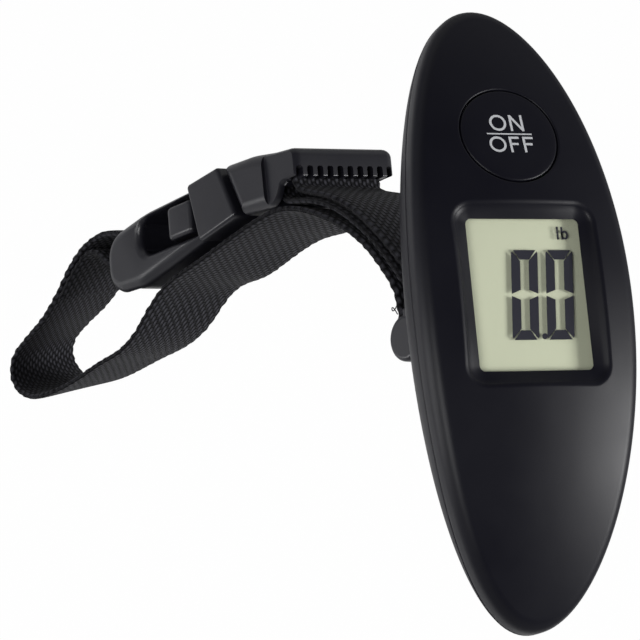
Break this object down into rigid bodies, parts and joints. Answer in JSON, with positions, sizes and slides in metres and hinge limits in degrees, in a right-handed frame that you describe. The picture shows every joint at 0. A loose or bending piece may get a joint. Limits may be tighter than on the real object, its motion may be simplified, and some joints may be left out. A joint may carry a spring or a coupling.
{
  "type": "digital luggage scale",
  "caption": "Hand-held digital luggage scale: arched oval handle with a sunk display and a push button, and a webbing strap loop with a side-release buckle hung from its back.",
  "frame": {"origin": "middle of the handle, level with the middle of the edge of its face", "axes": "+X across the handle to the right, +Y along the handle towards the push button, +Z out of the display; the strap hangs towards -Z"},
  "size_m": [0.0906, 0.13, 0.1917],
  "materials": {
    "shell": "satin black",
    "button": "satin black",
    "lens": "clear window",
    "lcd": "grey-green display",
    "holder": "natural",
    "zebra": "soft pink silicone",
    "board": "green solder resist",
    "blob": "black epoxy",
    "metal": "plated spring",
    "cell": "milled",
    "gauge": "amber film",
    "plastic": "moulded black",
    "webbing": "woven black",
    "battery": "satin",
    "steel": "zinc plated"
  },
  "bodies": {
    "handle": {"front_shell": "shell", "rear_shell": "shell", "display_lens": "lens", "lcd_glass": "lcd", "lcd_holder": "holder", "zebra_strip_top": "zebra", "zebra_strip_bottom": "zebra", "gauge_leads": "zebra", "main_board": "board", "chip_blob": "blob", "contact_top": "metal", "contact_edge": "metal", "load_cell": "cell", "strain_gauge_top": "gauge", "strain_gauge_bottom": "gauge", "switch_body": "plastic", "battery": "battery", "load_cell_screw_1": "steel", "load_cell_screw_2": "steel", "case_screw_1": "steel", "case_screw_2": "steel", "case_screw_3": "steel", "case_screw_4": "steel", "hanger_bolt": "steel", "hanger_nut": "steel"},
    "on_off_button": {"on_off_button": "button"},
    "switch_plunger": {"switch_plunger": "plastic"},
    "battery_cover": {"battery_cover": "shell"},
    "hanger": {"hanger_yoke": "plastic", "hanger_pin": "steel", "strap_pin": "steel"},
    "strap": {"webbing": "webbing", "buckle_female": "plastic", "buckle_male": "plastic"},
    "prong_left": {"buckle_prong_left": "plastic"},
    "prong_right": {"buckle_prong_right": "plastic"}
  },
  "joints": [
    {"name": "button_press", "type": "slide", "parent": "handle", "child": "on_off_button", "axis": [0, 0, -1], "range_m": [0, 0.0006], "stiffness_N_per_m": 500},
    {"name": "plunger_press", "type": "slide", "parent": "handle", "child": "switch_plunger", "axis": [0, 0, -1], "range_m": [0, 0.0006]},
    {"name": "battery_cover_turn", "type": "hinge", "parent": "handle", "child": "battery_cover", "pos_m": [0, -0.024, -0.0198], "axis": [0, 0, 1], "range_deg": [0, 60]},
    {"name": "hanger_swing", "type": "hinge", "parent": "handle", "child": "hanger", "pos_m": [0, 0, -0.0253], "axis": [0, 1, 0], "range_deg": [-44, 4]},
    {"name": "strap_swing", "type": "hinge", "parent": "hanger", "child": "strap", "pos_m": [-0.00267, 0, -0.03263], "axis": [0.9397, 0, -0.342], "range_deg": [-80, 20]},
    {"name": "prong_right_squeeze", "type": "hinge", "parent": "strap", "child": "prong_right", "pos_m": [-0.01116, 0.0428, -0.08871], "axis": [0, 1, 0], "range_deg": [0, 7], "stiffness_Nm_per_rad": 0.8},
    {"name": "prong_left_squeeze", "type": "hinge", "parent": "strap", "child": "prong_left", "pos_m": [-0.03221, 0.0428, -0.08105], "axis": [0, -1, 0], "range_deg": [0, 7], "stiffness_Nm_per_rad": 0.8}
  ],
  "couplings": [
    {"joint": "plunger_press", "follows": "button_press", "ratio": 1}
  ]
}
